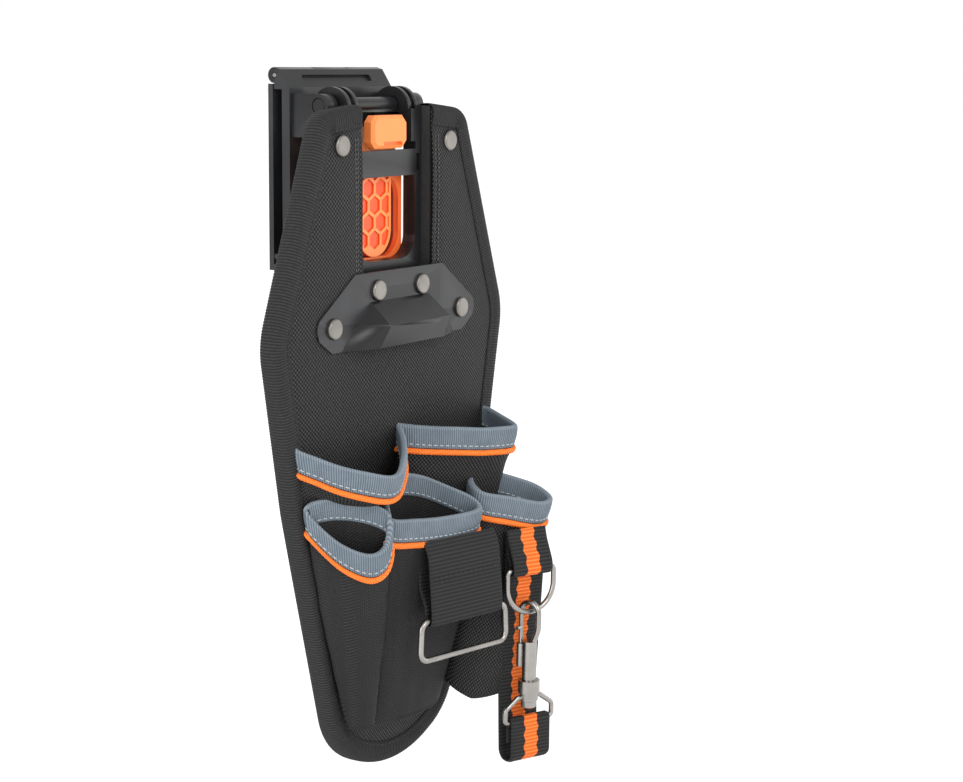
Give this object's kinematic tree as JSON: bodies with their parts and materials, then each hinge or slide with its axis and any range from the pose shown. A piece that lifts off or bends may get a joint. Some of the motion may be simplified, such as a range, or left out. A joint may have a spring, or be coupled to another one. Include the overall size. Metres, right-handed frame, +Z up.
{
  "type": "electrician tool pouch",
  "caption": "Padded fabric tool pouch with five bound pockets, wire bail, ring and snap-hook strap, hung from a plastic belt clip with a quick-release lever.",
  "frame": {"origin": "middle of the belt slot's top, on the centre line, where the pouch hangs on the belt", "axes": "+Z up, -Y out of the front of the pouch (away from the wearer), +X to the right seen from the front"},
  "size_m": [0.199, 0.1115, 0.3757],
  "materials": {
    "clip_plastic": "fine moulded satin",
    "orange_plastic": "satin moulded",
    "steel": "nickel plated",
    "black_fabric": "coarse ballistic weave",
    "foam": "closed cell foam",
    "black_tape": "ribbed tape",
    "grey_tape": "ribbed grosgrain tape",
    "orange_cord": "woven piping",
    "striped_webbing": "black webbing with an orange centre stripe"
  },
  "bodies": {
    "belt_clip": {"clip_front_plate": "clip_plastic", "clip_hinge_pin": "steel", "hook_bar": "clip_plastic"},
    "rear_leaf": {"clip_rear_leaf": "clip_plastic"},
    "pouch": {"hanger_frame": "clip_plastic", "lever_pin": "steel", "panel_front_cover": "black_fabric", "panel_foam": "foam", "panel_back_cover": "black_fabric", "panel_binding": "black_tape", "deflector_plate": "clip_plastic", "hanger_rivets": "steel", "deflector_inner_rivets": "steel", "deflector_outer_rivets": "steel", "hanger_washers": "steel", "deflector_washers": "steel", "bail_webbing": "black_tape", "ring_tab": "striped_webbing", "striped_strap": "striped_webbing", "lower_left_pocket": "black_fabric", "lower_left_hem": "grey_tape", "lower_left_piping": "orange_cord", "lower_middle_pocket": "black_fabric", "lower_middle_hem": "grey_tape", "lower_middle_piping": "orange_cord", "lower_right_pocket": "black_fabric", "lower_right_hem": "grey_tape", "lower_right_piping": "orange_cord", "upper_left_pocket": "black_fabric", "upper_left_hem": "grey_tape", "upper_left_piping": "orange_cord", "upper_right_pocket": "black_fabric", "upper_right_hem": "grey_tape", "upper_right_piping": "orange_cord"},
    "lever": {"release_lever": "orange_plastic"},
    "bail": {"wire_bail": "steel"},
    "ring": {"d_ring": "steel"},
    "eye": {"swivel_eye": "steel"},
    "hook": {"snap_hook": "steel"},
    "plunger": {"snap_plunger": "steel"}
  },
  "joints": [
    {"name": "leaf_hinge", "type": "hinge", "parent": "belt_clip", "child": "rear_leaf", "pos_m": [0, 0.002, 0.007], "axis": [1, 0, 0], "range_deg": [0, 100]},
    {"name": "pouch_swing", "type": "hinge", "parent": "belt_clip", "child": "pouch", "pos_m": [0, -0.025, -0.008], "axis": [-1, 0, 0], "range_deg": [0, 60]},
    {"name": "lever_rock", "type": "hinge", "parent": "pouch", "child": "lever", "pos_m": [0, -0.032, -0.038], "axis": [1, 0, 0], "range_deg": [0, 8], "stiffness_Nm_per_rad": 0.3, "springref_deg": -5.73},
    {"name": "bail_swing", "type": "hinge", "parent": "pouch", "child": "bail", "pos_m": [0.00521, -0.08501, -0.272], "axis": [-0.9744, 0.225, 0], "range_deg": [-5, 80]},
    {"name": "ring_swing", "type": "hinge", "parent": "pouch", "child": "ring", "pos_m": [0.05043, -0.09751, -0.256], "axis": [-0.9135, 0.4067, 0], "range_deg": [0, 16]},
    {"name": "eye_tilt", "type": "hinge", "parent": "pouch", "child": "eye", "pos_m": [0.05043, -0.09751, -0.3415], "axis": [0.9135, -0.4067, 0], "range_deg": [0, 6.4]},
    {"name": "hook_swivel", "type": "hinge", "parent": "eye", "child": "hook", "pos_m": [0.05043, -0.09751, -0.2806], "axis": [0, 0, 1], "range_deg": [-15, 15]},
    {"name": "gate_slide", "type": "slide", "parent": "hook", "child": "plunger", "axis": [0, 0, -1], "range_m": [0, 0.005], "stiffness_N_per_m": 60, "springref_m": -0.002}
  ],
  "couplings": [
    {"joint": "eye_tilt", "follows": "ring_swing", "ratio": 0.4}
  ]
}
